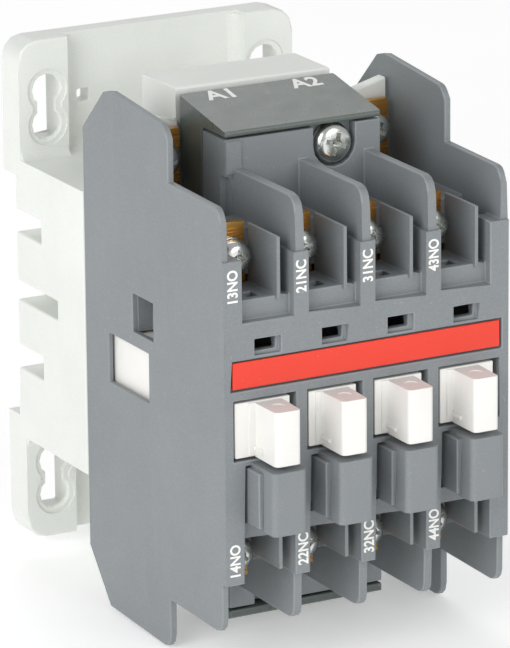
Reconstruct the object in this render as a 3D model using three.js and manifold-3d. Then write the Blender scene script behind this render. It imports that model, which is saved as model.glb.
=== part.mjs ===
// A four-pole control relay that snaps onto a 35 mm rail, built up from its separate pieces.
// Millimetres. The origin is the centre of the rail seat, +Y points to the rail and the wall,
// -Y to the person in front, +Z up. Left and right are seen from the front.
import * as THREE from 'three';
import { mergeVertices } from 'three/addons/utils/BufferGeometryUtils.js';
import Module from 'manifold-3d';

const wasm = await Module();
wasm.setup();

// ---------------------------------------------------------------- driving dimensions

const GAP = 0.3; // clearance kept between neighbouring pieces
const FAR = 100; // longer than the whole relay, for cuts that run right through
const PAST = 1; // how far a cut runs past the face that it opens
const LAP = 0.5; // how far joined shapes run into each other
const HOLE_SIDES = 10; // facets of a screw hole
const WIRE_SIDES = 5; // facets round a spring's wire
const SPRING_STEPS = 8; // lengths of wire in one turn of a spring

const HALF_WIDTH = 22; // half of the 44 mm overall width
const REAR = 3.75; // rear face of the base, behind the rail seat
const SPLIT = -21.7; // where the contact housing meets the base
const FRONT = -62.8; // front face of the contact housing
const NOSE = -68.85; // front of the four clip pillars, the foremost point

const POLE_PITCH = 10.2;
const POLES = [-1.5, -0.5, 0.5, 1.5].map((step) => step * POLE_PITCH);
const POLE_IS_NO = [true, false, false, true]; // normally open, closed, closed, open
const UPPER_NUMBERS = ['13', '21', '31', '43'];
const LOWER_NUMBERS = ['14', '22', '32', '44'];

const MAGNET_Z = -0.5; // height of the magnet's axis
const CONTACT_Z = -2.5; // height of the contact row's axis

const BASE = {
  top: 37.4, bottom: -36.4, cornerRadius: 3,
  panelFront: 0.75, padFront: -1.75, padWidth: 7.8,
  bodyTop: 20.3, bodyBottom: -20.9, bodyRear: 2.75, wall: 1.8, floor: 3,
  railTop: 17.85, railBottom: -17.9,
  towerHalfWidth: 12.1, towerRear: -20.7, towerFront: -30.7, towerTop: 35.8, towerBottom: -37.2,
  towerWall: 1.5,
};

const SLOT = {
  x: 17.5, near: 25, far: 30, radius: 2.25, neck: 1.4, reach: 5,
  skin: 1.2, pocketSide: 2.45, pocketEnd: 2.6, // a hollow behind the pad leaves only a skin round the slot
};
const SQUARE_HOLE = { x: 10.65, z: 27.9, half: 0.9 };
const SIDE_NOTCHES = [
  { bottom: 9.55, top: 12.85, depth: 7.85 },
  { bottom: -0.45, top: 2.3, depth: 12.7 },
  { bottom: -10.6, top: -7.25, depth: 7.75 },
];
const NOTCH_REACH = 4.2; // how far the side notches run in from the side face
const NOTCH_WALL = { thickness: 1.2, outer: 21.5, rear: -1 }; // lining that closes a notch from the inside
const HOOK = { inner: 8, outer: 14, reach: 1.85, front: 1.3 };
const FIN = {
  outer: 20.4, front: -31.9, rear: -30.4, rootRear: -30,
  bottom: 22.5, innerTop: 31.6, outerTop: 33.7,
};

const HOUSING = {
  wall: 1.0, plate: 2, plateTop: 11.4, plateBottom: -8.5,
  columnTop: 20.1, columnBottom: -25.2, columnRear: -58.5, columnHalf: 1.15, endColumn: 2.9, endInset: 0.1,
  barrierTop: 27.5, barrierBottom: -32.2, barrierHalf: 0.65, windowPast: 0.1,
  blockFront: -45, blockFace: -43, blockRear: -38.6, blockHalf: 12.1, blockWall: 1.4,
};
// The chambers, with z measured either way from the contact axis.
const CHAMBER = {
  slabRear: -44.5, slabFront: -51.9, slabInner: 17.1, slabOuter: 23.6,
  floorInner: 15.5, floorOuter: 16.7, floorFront: -61.5, floorRear: -53.5,
  lipRear: -60.3, upperLip: 13.4, lowerLip: 14.5,
  ribOffset: 1.95, ribThickness: 0.5, upperRib: 24.9, lowerRib: 21.9, ribFront: -61.8, ribRear: -53.5,
};
const BARRIER = {
  rear: -44.6, edgeRear: -60, upperStart: 8, lowerStart: -12, upperCorner: 2, lowerCorner: 1.6,
  upperFront: -62.2, columnFront: -62.5, lowerFront: -61.1, tipFront: -61.3, insideBottom: -13, insideTop: 9,
};
const UPPER_BLOCK = { inner: 18.6, outer: 31.6 };
const LOWER_BLOCK = { inner: -22.6, outer: -35.4 };
const COIL_SHELF = { upper: [18.6, 20.1], lower: [-24.1, -22.6], front: -45, rear: -31.1 };
const WINDOW = { top: 0.7, bottom: -7.8, mullion: 0.85, endX: 20.6 };
const CLIP_SLOT = { halfWidth: 2, bottom: 6.7, top: 8.95, rear: -50 };
const LABEL = { halfWidth: 20.95, bottom: 2, top: 6.3, recess: 0.8, thickness: 0.4 };
const PILLAR = { halfWidth: 2.6, top: -8.25, bottom: -17.1, rear: -61, corner: 0.8 };
const UNDER_WALL = { front: -61.9, rear: -60.5, bottom: -15.4, top: -8 };
const SIDE_WINDOW = { rear: -28.65, front: -40.7, bottom: -5.2, top: 1.85 };
const SIDE_HOLE = { rear: -36.1, front: -42.2, bottom: 3.95, top: 9.35 };
const SIDE_POCKET = { rear: -22, front: -46, bottom: -8, top: 5, wallLeft: 0.75 };

const HOUSING_SCREW = {
  x: 4.9, upperZ: 28.95, lowerZ: -32.6, headRadius: 2.85, length: 10,
  recess: 3.25, seat: -43.2, seatFront: -44, seatRear: -41, seatHalf: 4.2,
  boss: 2.6, bossFront: -39.2, pilotDepth: 9,
};

const COVER = {
  rear: -31, front: -45.1, halfWidth: 12.1, wall: 1.2, sideFront: -38.3,
  rearTop: 35.3, frontTop: 32.7, lip: 31.9, bottom: 21,
  lowerRear: -38, lowerFront: -36.9, lowerLip: -35.7, lowerTop: -25,
  roomFront: -37.6, roomDrop: 2.28, roomSill: 0.2, roomMouth: -39.3,
};

const CORE = {
  halfStack: 6.2, rear: -4.9, yoke: -10.2, face: -28.2, limbInner: 13.4, limbOuter: 18.4,
  middle: 3.5, middleFace: -27.9, // the middle limb is ground a little short
};
const SHADING = {
  grooveInner: 15.2, grooveOuter: 16.4, depth: 2, ringOuter: 19.3, wire: 0.6,
  front: -27.9, rear: -26.7,
};
const CUSHION = { rear: -3.3, front: -4.6, inset: 1 };
const ARMATURE = {
  face: -33, yoke: -34.6, front: -38.8, chamfer: 2,
  pinY: -36.7, pinRadius: 1.35, pinHalf: 9.9,
};
const BOBBIN = {
  front: -27.6, rear: -10.5, flange: 1.2, halfX: 11.5, halfZ: 12.9,
  boreX: 6.5, boreZ: 3.8, tube: 1, earX: 15.6, earZ: 3, margin: 0.5, windingCorner: 2.5,
};

const CARRIER = {
  plateFront: -62.5, plateRear: -58.5, plateLeft: 0.3, plateRight: 0.85, plateTop: 0.3, plateBottom: -7.4,
  bladeHalf: 1.95, bladeTop: 0.1, bladeBottom: -7.5, bladeFront: -68.4, bladeCorner: 0.6,
  stemHalf: 3, stemTop: 1.5, stemBottom: -6.5, slotHalf: 2,
  barFront: -45, barRear: -41.2, barHalf: 20,
  cheekInner: 7, cheekOuter: 9.2, cheekRear: -33.4, cheekHalf: 4.5, pinReach: 11.2,
  openWindow: -57.4, closedWindow: -48.2,
  wingInner: 18.4, wingOuter: 20.9, wingRear: -27.5, wingTop: 3.4, wingBottom: -6.8,
};
const BRIDGE = {
  halfWidth: 1.7, thickness: 1, halfLength: 9.6,
  contactAt: 7.6, contactRadius: 1.3, contact: 0.6,
};
const CONTACT_SPRING = { radius: 1.2, wire: 0.25, turns: 4, openStart: -57.1, closedEnd: -48.5 };
const RETURN_SPRING = { x: 13.3, radius: 1.7, wire: 0.3, turns: 6 };
const NO_BRIDGE_FRONT = -53;
const NC_BRIDGE_FRONT = -54;

const TERMINAL = {
  offset: -1.05, halfWidth: 2.7, front: -53.2, thickness: 1, inner: 17.1, outer: 25.1, screwAt: 20.9,
  stripHalf: 1.8, stripEnd: 5.7, hole: 2.1,
};
const NC_STRIP = { legInner: 14.2, legOuter: 15.2, front: -56.7 };
const NO_STRIP = { legInner: 15.7, legOuter: 16.7, rear: -45.4 };
const TIP = { proud: 0.4, openRoot: 0.5, closedRoot: 0.5, closedProud: 0.6 }; // fixed contact tips
const SERRATION = { count: 14, pitch: 0.5, width: 0.225, depth: 0.2, start: 0.57 };

const COIL_TERMINAL = {
  x: 16.4, halfWidth: 3.5, front: -33.4, thickness: 1, bottom: 22.9, top: 31, screwZ: 27.4,
  tailBottom: 21.3, tailTop: 22.2, tailRear: -25, tailEnd: 14, tailHalf: 1.5,
};

const SCREW = {
  headRadius: 2.3, headHeight: 2, shankRadius: 1.4, length: 7.5, point: 0.8, taper: 0.6,
  slotHalf: 0.42, slotDepth: 1.1, slotReach: 0.62,
};
const WASHER = { radius: 2.5, thickness: 0.9, hole: 1.75 };

const LATCH = {
  halfWidth: 6.6, front: 0.6, rear: 3.4, top: -16.1, bottom: -39, plateTop: -18.4,
  tongue: 8.2, tongueFront: 1.3, tongueRear: 2.3, tongueTop: -22.4, tongueBottom: -34.9,
  lipBottom: -19.4, lipFront: 1.3, slotHalf: 2.5, slotBottom: -38.3, slotTop: -37.3,
  windowHalf: 2.6, windowTop: -22, windowBottom: -33.2,
  housingHalf: 9.6, housingFront: -1.2, housingTop: -20.5, housingBottom: -35.8,
};
const LATCH_POST = { halfWidth: 2, bottom: -32.6, top: -31.3, front: -0.4, rear: 3.1 };
const LATCH_SPRING = { radius: 1.05, wire: 0.22, turns: 5 };

// ---------------------------------------------------------------- shape helpers

// Turns a closed geometry into a solid that can be joined and cut.
function solid(geometry) {
  geometry.deleteAttribute('normal');
  geometry.deleteAttribute('uv');
  const merged = mergeVertices(geometry, 1e-5);
  const mesh = new wasm.Mesh({
    numProp: 3,
    vertProperties: new Float32Array(merged.attributes.position.array),
    triVerts: new Uint32Array(merged.index.array),
  });
  return new wasm.Manifold(mesh);
}

function geometryOf(body) {
  const mesh = body.getMesh();
  const geometry = new THREE.BufferGeometry();
  geometry.setAttribute('position', new THREE.BufferAttribute(mesh.vertProperties, 3));
  geometry.setIndex(new THREE.BufferAttribute(mesh.triVerts, 1));
  return geometry;
}

const join = (...bodies) => bodies.flat().reduce((whole, body) => whole.add(body));
const cut = (body, ...tools) => tools.flat().reduce((rest, tool) => rest.subtract(tool), body);

// A box between two corners, given axis by axis in either order.
function box([x0, x1], [y0, y1], [z0, z1]) {
  const geometry = new THREE.BoxGeometry(Math.abs(x1 - x0), Math.abs(y1 - y0), Math.abs(z1 - z0));
  geometry.translate((x0 + x1) / 2, (y0 + y1) / 2, (z0 + z1) / 2);
  return solid(geometry);
}

// An outline whose corners are [u, v] or [u, v, radius]; a radius rounds the corner.
function outline(corners, steps = 3) {
  const at = (i) => new THREE.Vector2(corners.at(i % corners.length)[0], corners.at(i % corners.length)[1]);
  return corners.flatMap(([, , radius = 0], i) => {
    const corner = at(i);
    if (radius === 0) return [corner];
    const before = at(i - 1).sub(corner).normalize();
    const after = at(i + 1).sub(corner).normalize();
    const half = Math.acos(before.dot(after)) / 2;
    const inward = before.clone().add(after).normalize();
    const centre = corner.clone().addScaledVector(inward, radius / Math.sin(half));
    const start = corner.clone().addScaledVector(before, radius / Math.tan(half)).sub(centre);
    const turn = (Math.PI - 2 * half) * Math.sign(after.cross(before));
    const arcPoint = (k) => start.clone().rotateAround(new THREE.Vector2(), (turn * k) / steps).add(centre);
    return Array.from({ length: steps + 1 }, (_, k) => arcPoint(k));
  });
}

// Extrudes an outline along one axis. The outline's own axes are YZ, XZ or XY in turn.
function extrude(points, depth) {
  return new THREE.ExtrudeGeometry(new THREE.Shape(points), { depth, bevelEnabled: false });
}

function prismX(corners, [x0, x1], steps) {
  const geometry = extrude(outline(corners, steps), x1 - x0);
  const axes = [new THREE.Vector3(0, 1, 0), new THREE.Vector3(0, 0, 1), new THREE.Vector3(1, 0, 0)];
  geometry.applyMatrix4(new THREE.Matrix4().makeBasis(...axes));
  geometry.translate(x0, 0, 0);
  return solid(geometry);
}

function prismY(corners, [y0, y1], steps) {
  const points = outline(corners, steps).map((p) => new THREE.Vector2(p.y, p.x));
  const geometry = extrude(points, y1 - y0);
  const axes = [new THREE.Vector3(0, 0, 1), new THREE.Vector3(1, 0, 0), new THREE.Vector3(0, 1, 0)];
  geometry.applyMatrix4(new THREE.Matrix4().makeBasis(...axes));
  geometry.translate(0, y0, 0);
  return solid(geometry);
}

function prismZ(corners, [z0, z1], steps) {
  const geometry = extrude(outline(corners, steps), z1 - z0);
  geometry.translate(0, 0, z0);
  return solid(geometry);
}

// A round bar along Y or X.
function roundY([x, z], radius, [y0, y1], sides = 12) {
  const geometry = new THREE.CylinderGeometry(radius, radius, Math.abs(y1 - y0), sides);
  geometry.translate(x, (y0 + y1) / 2, z);
  return solid(geometry);
}

function roundX([y, z], radius, [x0, x1], sides = 12) {
  const geometry = new THREE.CylinderGeometry(radius, radius, Math.abs(x1 - x0), sides);
  geometry.rotateZ(Math.PI / 2);
  geometry.translate((x0 + x1) / 2, y, z);
  return solid(geometry);
}

// The same body on the right and on the left.
const bothSides = (body) => [body, body.mirror([1, 0, 0])];

// ---------------------------------------------------------------- base housing

function baseBlank() {
  const r = BASE.cornerRadius;
  const panel = [
    [-HALF_WIDTH, BASE.bottom, r], [HALF_WIDTH, BASE.bottom, r],
    [HALF_WIDTH, BASE.top, r], [-HALF_WIDTH, BASE.top, r],
  ];
  const padInner = HALF_WIDTH - BASE.padWidth;
  const pad = [
    [padInner, BASE.bottom], [HALF_WIDTH, BASE.bottom, r], [HALF_WIDTH, BASE.top, r], [padInner, BASE.top],
  ];
  const bodyZ = [BASE.bodyBottom, BASE.bodyTop];
  const body = box([-HALF_WIDTH, HALF_WIDTH], [SPLIT + GAP, BASE.bodyRear], bodyZ);
  const inside = HALF_WIDTH - BASE.wall;
  const cavityZ = [BASE.bodyBottom + BASE.wall, BASE.bodyTop - BASE.wall];
  const cavity = box([-inside, inside], [SPLIT - PAST, -BASE.floor], cavityZ);
  const pads = bothSides(prismY(pad, [BASE.padFront, REAR]));
  const blank = join(prismY(panel, [BASE.panelFront, REAR]), pads, body);
  return cut(blank, cavity);
}

// The light box behind the coil cover: a shell open to the front, with its screw bosses.
function baseTower() {
  const half = BASE.towerHalfWidth;
  const t = BASE.towerWall;
  const { towerFront, towerRear, towerBottom, towerTop, bodyBottom, bodyTop, wall } = BASE;
  const shell = box([-half, half], [towerFront, towerRear], [towerBottom, towerTop]);
  const hollow = box([t - half, half - t], [-FAR, towerRear - t], [towerBottom + t, towerTop - t]);
  const inner = box([-half - PAST, half + PAST], [-FAR, 0], [bodyBottom + wall, bodyTop - wall]);
  const { x, upperZ, lowerZ, boss, bossFront, pilotDepth } = HOUSING_SCREW;
  const screws = [[x, upperZ], [-x, lowerZ]];
  const bosses = screws.map((at) => roundY(at, boss, [bossFront, towerRear - t / 2]));
  const pilotY = [bossFront - PAST, bossFront + pilotDepth];
  const pilots = screws.map((at) => roundY(at, SCREW.shankRadius + GAP, pilotY));
  return cut(join(cut(shell, hollow, inner), bosses), pilots);
}

// Upright fins beside the tower, which back the coil terminals.
function baseFins() {
  const inner = BASE.towerHalfWidth + GAP;
  const { outer, bottom, outerTop, innerTop } = FIN;
  const fin = [[inner, bottom], [outer, bottom], [outer, outerTop], [inner, innerTop]];
  const root = box([inner - PAST, inner + PAST], [BASE.towerFront, FIN.rootRear], [bottom, innerTop]);
  const screwHole = roundY([COIL_TERMINAL.x, COIL_TERMINAL.screwZ], TERMINAL.hole, [-FAR, 0]);
  return bothSides(join(cut(prismY(fin, [FIN.front, FIN.rear]), screwHole), root));
}

function mountingSlots() {
  const { near, far, radius, neck, reach, skin, pocketSide, pocketEnd } = SLOT;
  return [1, -1].flatMap((up) => [-SLOT.x, SLOT.x].flatMap((x) => [
    roundY([x, up * near], radius, [-reach, reach]),
    roundY([x, up * far], radius, [-reach, reach]),
    box([x - neck, x + neck], [-reach, reach], [up * near, up * far]),
    box([x - pocketSide, x + pocketSide], [BASE.padFront + skin, reach],
      [up * (near - pocketEnd), up * (far + pocketEnd)]),
  ]));
}

// A latch housing under the rail channel, and the ways that the latch and its tongues slide in.
function latchParts() {
  const { halfWidth, tongue, tongueFront, tongueRear, front, housingHalf, housingFront } = LATCH;
  const wayTop = BASE.railBottom + PAST;
  const shell = box([-housingHalf, housingHalf], [housingFront, BASE.bodyRear],
    [LATCH.housingBottom, LATCH.housingTop]);
  const way = box([-halfWidth - GAP, halfWidth + GAP], [front - GAP, FAR], [-FAR, wayTop]);
  const tongueWay = box([-tongue - GAP, tongue + GAP], [tongueFront - GAP, tongueRear + GAP], [-FAR, wayTop]);
  const post = box([-LATCH_POST.halfWidth, LATCH_POST.halfWidth], [LATCH_POST.front, LATCH_POST.rear],
    [LATCH_POST.bottom, LATCH_POST.top]);
  return { shell, ways: [way, tongueWay], post };
}

function sideNotches() {
  const inner = HALF_WIDTH - NOTCH_REACH;
  const t = NOTCH_WALL.thickness;
  const cuts = SIDE_NOTCHES.flatMap(({ bottom, top, depth }) => bothSides(
    box([inner, FAR], [-depth, FAR], [bottom, top])));
  const walls = SIDE_NOTCHES.flatMap(({ bottom, top, depth }) => bothSides(
    box([inner - t, NOTCH_WALL.outer], [-depth - t, NOTCH_WALL.rear], [bottom - t, top + t])));
  return { cuts, walls };
}

function baseHousing() {
  const railChannel = box([-FAR, FAR], [0, FAR], [BASE.railBottom, BASE.railTop]);
  const notches = sideNotches();
  const latch = latchParts();
  const { x, z, half } = SQUARE_HOLE;
  const squareHole = box([-x - half, -x + half], [-PAST, FAR], [z - half, z + half]);
  const hooks = bothSides(
    box([HOOK.inner, HOOK.outer], [HOOK.front, REAR], [BASE.railTop - HOOK.reach, BASE.railTop + PAST]));
  const shell = join(cut(join(baseBlank(), notches.walls, latch.shell), railChannel), hooks);
  const cutOut = cut(shell, notches.cuts, squareHole, mountingSlots(), latch.ways);
  return join(cutOut, latch.post, baseTower(), baseFins());
}

// ---------------------------------------------------------------- contact housing

function sideWall() {
  const profile = [
    [SPLIT, 29.6], [-28.4, 36.1, 1], [-31, 36.6], [-45.9, 35.3, 2], [-47.2, 33.5], [-47.2, 27.6],
    [-61.3, 27.3, 1.6], [-62.2, 25.5], [-62.5, HOUSING.columnTop], [FRONT, HOUSING.columnTop],
    [FRONT, HOUSING.columnBottom], [-61.6, HOUSING.columnBottom], [-61.5, -32.3, 1.8], [-46.2, -32],
    [-46.2, -39.2, 1.8], [-27.9, -38.5], [-21.6, -31.1],
  ];
  const x = [HALF_WIDTH - HOUSING.wall, HALF_WIDTH];
  const pocket = box([0, HALF_WIDTH - SIDE_POCKET.wallLeft], [SIDE_POCKET.front, SIDE_POCKET.rear],
    [SIDE_POCKET.bottom, SIDE_POCKET.top]);
  const window = box([0, FAR], [SIDE_WINDOW.front, SIDE_WINDOW.rear], [SIDE_WINDOW.bottom, SIDE_WINDOW.top]);
  const hole = box([0, FAR], [SIDE_HOLE.front, SIDE_HOLE.rear], [SIDE_HOLE.bottom, SIDE_HOLE.top]);
  return cut(prismX(profile, x), pocket, window, hole);
}

function barrierOutline() {
  const { barrierTop: top, barrierBottom: bottom, columnTop, columnBottom } = HOUSING;
  const { rear, edgeRear, upperStart, lowerStart, upperCorner, lowerCorner } = BARRIER;
  const upper = [
    [rear, upperStart], [edgeRear, upperStart], [BARRIER.columnFront, columnTop],
    [BARRIER.upperFront, top, upperCorner], [rear, top],
  ];
  const lower = [
    [rear, bottom], [BARRIER.lowerFront, bottom, lowerCorner], [BARRIER.tipFront, columnBottom],
    [edgeRear, lowerStart], [rear, lowerStart],
  ];
  return [upper, lower];
}

function partitions() {
  const { barrierHalf, columnHalf, columnRear, columnTop, columnBottom, endColumn } = HOUSING;
  const columnZ = [columnBottom, columnTop];
  const barriers = [-POLE_PITCH, 0, POLE_PITCH].flatMap((x) => {
    const thin = [x - barrierHalf, x + barrierHalf];
    const insideY = [columnRear - PAST, CARRIER.barFront - 2 * GAP];
    const inside = box(thin, insideY, [BARRIER.insideBottom, BARRIER.insideTop]);
    const column = box([x - columnHalf, x + columnHalf], [FRONT, columnRear], columnZ);
    return [...barrierOutline().map((side) => prismX(side, thin)), inside, column];
  });
  const endX = [HALF_WIDTH - endColumn, HALF_WIDTH - HOUSING.endInset];
  return [...barriers, ...bothSides(box(endX, [FRONT, columnRear], columnZ))];
}

// Shelves and ribs round each screw terminal, above (up = 1) or below (up = -1) the contacts.
function terminalShelves(up) {
  const z = (distance) => CONTACT_Z + up * distance;
  const across = [HOUSING.wall / 2 - HALF_WIDTH, HALF_WIDTH - HOUSING.wall / 2];
  const { slabFront, slabRear, slabInner, slabOuter } = CHAMBER;
  const { floorFront, floorRear, floorInner, floorOuter } = CHAMBER;
  const { ribOffset, ribThickness, ribFront, ribRear } = CHAMBER;
  const slab = box(across, [slabFront, slabRear], [z(slabInner), z(slabOuter)]);
  const floor = box(across, [floorFront, floorRear], [z(floorInner), z(floorOuter)]);
  const lipEdge = up > 0 ? CHAMBER.upperLip : CHAMBER.lowerLip;
  const lip = box(across, [floorFront, CHAMBER.lipRear], [z(lipEdge), z(floorOuter)]);
  const ribEnd = up > 0 ? CHAMBER.upperRib : CHAMBER.lowerRib;
  const ribs = POLES.map((x) => {
    const left = x + ribOffset;
    return box([left, left + ribThickness], [ribFront, ribRear], [z(floorOuter - LAP), z(ribEnd)]);
  });
  const screwAt = (x) => [x + TERMINAL.offset, z(TERMINAL.screwAt)];
  const screwHoles = POLES.map((x) => roundY(screwAt(x), TERMINAL.hole, [-FAR, 0], HOLE_SIDES));
  return [cut(slab, screwHoles), floor, lip, ...ribs];
}

// The centre block under the coil cover, with a countersunk seat for its screw.
function centreBlock({ inner, outer }, at) {
  const { blockFront: front, blockRear: rear, blockHalf: half, blockWall: wall, blockFace } = HOUSING;
  const { recess: radius, seat: seatY, seatFront, seatRear, seatHalf } = HOUSING_SCREW;
  const [x, z] = at;
  const up = Math.sign(outer);
  const shell = box([-half, half], [front, rear], [inner, outer]);
  const hollow = box([wall - half, half - wall], [blockFace, 0], [-up * FAR, up * FAR]);
  const seat = box([x - seatHalf, x + seatHalf], [seatFront, seatRear], [z - up * seatHalf, outer]);
  const recess = [
    roundY(at, radius, [-FAR, seatY], 16),
    box([x - radius, x + radius], [-FAR, seatY], [z, up * FAR]),
    roundY(at, SCREW.shankRadius + GAP, [-FAR, 0], HOLE_SIDES),
  ];
  return cut(join(cut(shell, hollow), seat), recess);
}

// Plates each side of the block that close off the coil terminals from the contacts.
function coilShelf(z) {
  const x = [HOUSING.blockHalf - PAST, HALF_WIDTH - LAP];
  return bothSides(box(x, [COIL_SHELF.front, COIL_SHELF.rear], z));
}

// The window in the front plate that the carrier works through, from its left to its right.
function windowX(x, i) {
  const half = POLE_PITCH / 2 - WINDOW.mullion;
  return [i === 0 ? -WINDOW.endX : x - half, i === POLES.length - 1 ? WINDOW.endX : x + half];
}

function frontPlate() {
  const across = [LAP - HALF_WIDTH, HALF_WIDTH - LAP];
  const plate = box(across, [FRONT, FRONT + HOUSING.plate], [HOUSING.plateBottom, HOUSING.plateTop]);
  const windowY = [-FAR, HOUSING.columnRear + HOUSING.windowPast];
  const windows = POLES.map((x, i) => box(windowX(x, i), windowY, [WINDOW.bottom, WINDOW.top]));
  const { halfWidth, rear, bottom, top } = CLIP_SLOT;
  const clips = POLES.map((x) => box([x - halfWidth, x + halfWidth], [-FAR, rear], [bottom, top]));
  const labelX = [-LABEL.halfWidth, LABEL.halfWidth];
  const label = box(labelX, [-FAR, FRONT + LABEL.recess], [LABEL.bottom, LABEL.top]);
  return { plate, cuts: [...windows, ...clips, label] };
}

function clipPillars() {
  const wall = box([LAP - HALF_WIDTH, HALF_WIDTH - LAP], [UNDER_WALL.front, UNDER_WALL.rear],
    [UNDER_WALL.bottom, UNDER_WALL.top]);
  const pillars = POLES.map((x) => prismZ([
    [x - PILLAR.halfWidth, NOSE, PILLAR.corner], [x + PILLAR.halfWidth, NOSE, PILLAR.corner],
    [x + PILLAR.halfWidth, PILLAR.rear], [x - PILLAR.halfWidth, PILLAR.rear],
  ], [PILLAR.bottom, PILLAR.top]));
  return [wall, ...pillars];
}

function contactHousing() {
  const { plate, cuts } = frontPlate();
  const solidPart = join(bothSides(sideWall()), plate, partitions(), terminalShelves(1), terminalShelves(-1));
  const blocks = [
    centreBlock(UPPER_BLOCK, [HOUSING_SCREW.x, HOUSING_SCREW.upperZ]),
    centreBlock(LOWER_BLOCK, [-HOUSING_SCREW.x, HOUSING_SCREW.lowerZ]),
  ];
  const shelves = [...coilShelf(COIL_SHELF.upper), ...coilShelf(COIL_SHELF.lower)];
  return join(cut(solidPart, cuts), clipPillars(), blocks, shelves);
}

// ---------------------------------------------------------------- coil covers

function coilCover(up) {
  const upper = up > 0;
  const rearEdge = upper ? COVER.rearTop : COVER.lowerRear;
  const frontEdge = upper ? COVER.frontTop : COVER.lowerFront;
  const lip = upper ? COVER.lip : COVER.lowerLip;
  const foot = upper ? COVER.bottom : COVER.lowerTop;
  const t = up * COVER.wall;
  const profile = [
    [COVER.rear, rearEdge], [COVER.front, frontEdge], [COVER.front, lip], [COVER.sideFront, lip],
    [COVER.sideFront, foot], [COVER.rear, foot],
  ];
  const room = [
    [0, rearEdge - t], [COVER.roomFront, rearEdge - up * COVER.roomDrop],
    [COVER.roomFront, lip - up * COVER.roomSill], [COVER.roomMouth, lip - up * COVER.roomSill],
    [COVER.roomMouth, 0], [0, 0],
  ];
  const half = COVER.halfWidth;
  return cut(prismX(profile, [-half, half]), prismX(room, [COVER.wall - half, half - COVER.wall]));
}

// ---------------------------------------------------------------- magnet

const symmetric = (halfProfile) => [
  ...halfProfile.map(([y, z]) => [y, MAGNET_Z + z]),
  ...[...halfProfile].reverse().map(([y, z]) => [y, MAGNET_Z - z]),
];

function fixedCore() {
  const { halfStack, rear, yoke, face, limbInner, limbOuter, middle, middleFace } = CORE;
  const { grooveInner, grooveOuter, depth } = SHADING;
  const profile = symmetric([
    [rear, limbOuter], [face, limbOuter], [face, grooveOuter], [face + depth, grooveOuter],
    [face + depth, grooveInner], [face, grooveInner], [face, limbInner], [yoke, limbInner],
    [yoke, middle], [middleFace, middle],
  ]);
  return prismX(profile, [-halfStack, halfStack]);
}

function shadingRing(up) {
  const z = (distance) => MAGNET_Z + up * distance;
  const { wire, ringOuter, front, rear } = SHADING;
  const innerX = CORE.halfStack + GAP;
  const groove = SHADING.grooveInner + GAP;
  const loop = box([-innerX - wire, innerX + wire], [front, rear], [z(groove), z(ringOuter)]);
  return cut(loop, box([-innerX, innerX], [-FAR, 0], [z(groove + wire), z(ringOuter - wire)]));
}

function coreCushion() {
  const halfX = CORE.halfStack - CUSHION.inset;
  const halfZ = CORE.limbOuter - CUSHION.inset;
  return box([-halfX, halfX], [CUSHION.front, CUSHION.rear], [MAGNET_Z - halfZ, MAGNET_Z + halfZ]);
}

function armature() {
  const { limbInner, limbOuter, middle, halfStack } = CORE;
  const { face, yoke, front, chamfer } = ARMATURE;
  const profile = symmetric([
    [front, limbOuter - chamfer], [front + chamfer, limbOuter], [face, limbOuter], [face, limbInner],
    [yoke, limbInner], [yoke, middle], [face, middle],
  ]);
  const pinHole = roundX([ARMATURE.pinY, MAGNET_Z], ARMATURE.pinRadius + GAP, [-FAR, FAR]);
  return cut(prismX(profile, [-halfStack, halfStack]), pinHole);
}

function coilBobbin() {
  const { front, rear, flange, halfX, halfZ, boreX, boreZ, tube, earX, earZ } = BOBBIN;
  const z = (half) => [MAGNET_Z - half, MAGNET_Z + half];
  const spool = box([-boreX - tube, boreX + tube], [front, rear], z(boreZ + tube));
  const flangeY = [[front, front + flange], [rear - flange, rear]];
  const flanges = flangeY.map((y) => box([-halfX, halfX], y, z(halfZ)));
  const ears = box([-earX, earX], [front, front + flange], z(earZ));
  return cut(join(spool, flanges, ears), box([-boreX, boreX], [-FAR, 0], z(boreZ)));
}

function coilWinding() {
  const { front, rear, flange, halfX, halfZ, boreX, boreZ, tube, margin, windingCorner } = BOBBIN;
  const around = (x, z, round) => [
    [-x, MAGNET_Z - z, round], [x, MAGNET_Z - z, round], [x, MAGNET_Z + z, round], [-x, MAGNET_Z + z, round],
  ];
  const y = [front + flange + GAP, rear - flange - GAP];
  const outer = prismY(around(halfX - margin, halfZ - margin, windingCorner), y);
  return cut(outer, prismY(around(boreX + tube + GAP, boreZ + tube + GAP, 0), [-FAR, 0]));
}

// ---------------------------------------------------------------- moving contacts

function carrierPole(x, i) {
  const { plateFront, plateRear, plateLeft, plateRight, plateTop, plateBottom } = CARRIER;
  const { bladeHalf, bladeFront, bladeTop, bladeBottom, bladeCorner } = CARRIER;
  const { stemHalf, stemBottom, slotHalf } = CARRIER;
  const [left, right] = windowX(x, i);
  const plateX = [left + plateLeft, right - plateRight];
  const plate = box(plateX, [plateFront, plateRear], [plateBottom, plateTop]);
  const blade = prismZ([
    [x - bladeHalf, bladeFront, bladeCorner], [x + bladeHalf, bladeFront, bladeCorner],
    [x + bladeHalf, plateRear], [x - bladeHalf, plateRear],
  ], [bladeBottom, bladeTop], 2);
  const stemY = [plateRear - LAP, CARRIER.barFront + LAP];
  const stem = box([x - stemHalf, x + stemHalf], stemY, [stemBottom, plateTop]);
  const windowY = POLE_IS_NO[i] ? [CARRIER.openWindow, NO_BRIDGE_FRONT + BRIDGE.thickness + GAP]
    : [NC_BRIDGE_FRONT - GAP, CARRIER.closedWindow];
  return cut(join(plate, blade, stem), box([x - slotHalf, x + slotHalf], windowY, [-FAR, FAR]));
}

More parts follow.
